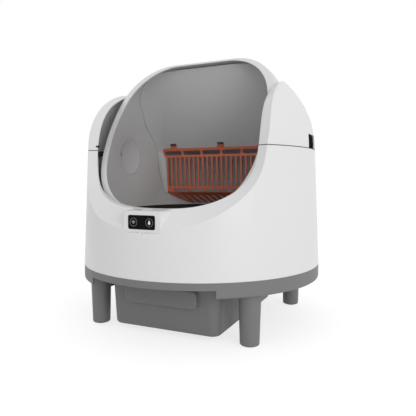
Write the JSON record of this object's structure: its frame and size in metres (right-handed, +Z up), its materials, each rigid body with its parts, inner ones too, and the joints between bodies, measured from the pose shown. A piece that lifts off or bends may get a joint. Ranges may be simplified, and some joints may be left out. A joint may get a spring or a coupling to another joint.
{
  "type": "self cleaning litter box",
  "caption": "Round litter box on legs with a wide turning drum, a sieve behind its slanted mouth, a lift-off cover and a waste drawer below.",
  "frame": {"origin": "on the floor under the centre of the round body", "axes": "+Z up, front faces -Y, +X to the right as seen from the front, drum axis along X"},
  "size_m": [0.54, 0.54, 0.5928],
  "materials": {
    "white_shell": "satin white moulded ABS",
    "grey_base": "fine textured grey plastic",
    "grey_drawer": "fine textured grey plastic",
    "foot_rubber": "soft black rubber",
    "drum_white": "satin white plastic",
    "drum_grey": "satin grey plastic",
    "rim_grey": "pale grey plastic",
    "sieve_orange": "satin orange plastic",
    "mat_rubber": "soft black rubber",
    "bearing_nylon": "natural nylon",
    "screw_steel": "plated steel",
    "bracket_steel": "zinc plated sheet",
    "gearbox_black": "black plastic",
    "motor_steel": "plated can",
    "panel_glass": "black gloss panel",
    "board_green": "circuit board",
    "sensor_black": "black plastic"
  },
  "bodies": {
    "housing": {"lower_housing": "white_shell", "base_ring": "grey_base", "front_left_leg": "grey_base", "front_right_leg": "grey_base", "rear_left_leg": "grey_base", "rear_right_leg": "grey_base", "foot_pads": "foot_rubber", "left_drawer_rail": "grey_base", "right_drawer_rail": "grey_base", "waste_chute": "grey_base", "left_bearing_post": "grey_base", "right_bearing_post": "grey_base", "left_bush": "bearing_nylon", "right_bush": "bearing_nylon", "motor_bracket": "bracket_steel", "gearbox": "gearbox_black", "motor": "motor_steel", "control_panel": "panel_glass", "control_board": "board_green", "left_cover_catch": "sensor_black", "right_cover_catch": "sensor_black", "power_inlet": "sensor_black", "main_board": "board_green", "cover_seal": "foot_rubber"},
    "cover": {"upper_cover": "white_shell", "presence_sensor": "sensor_black"},
    "drum": {"drum_shell": "drum_white", "drum_liner": "drum_grey", "mouth_rim": "rim_grey", "partition_panel": "drum_grey", "sieve": "sieve_orange", "rubber_mat": "mat_rubber", "left_hub_plate": "drum_grey", "right_hub_plate": "drum_grey", "left_journal": "bearing_nylon", "right_journal": "bearing_nylon", "hub_screws": "screw_steel", "ring_gear": "bearing_nylon"},
    "pinion": {"drive_pinion": "bearing_nylon"},
    "drawer": {"waste_drawer": "grey_drawer"}
  },
  "joints": [
    {"name": "drum_turn", "type": "hinge", "parent": "housing", "child": "drum", "pos_m": [0, 0, 0.376], "axis": [-1, 0, 0], "range_deg": [-20, 245]},
    {"name": "pinion_spin", "type": "hinge", "parent": "housing", "child": "pinion", "pos_m": [0, 0, 0.235], "axis": [-1, 0, 0], "range_deg": [-1300, 1300]},
    {"name": "cover_lift", "type": "slide", "parent": "housing", "child": "cover", "axis": [0, 0, 1], "range_m": [0, 0.3]},
    {"name": "drawer_slide", "type": "slide", "parent": "housing", "child": "drawer", "axis": [0, -1, 0], "range_m": [0, 0.3]}
  ],
  "couplings": [
    {"joint": "pinion_spin", "follows": "drum_turn", "ratio": -4.2222}
  ]
}
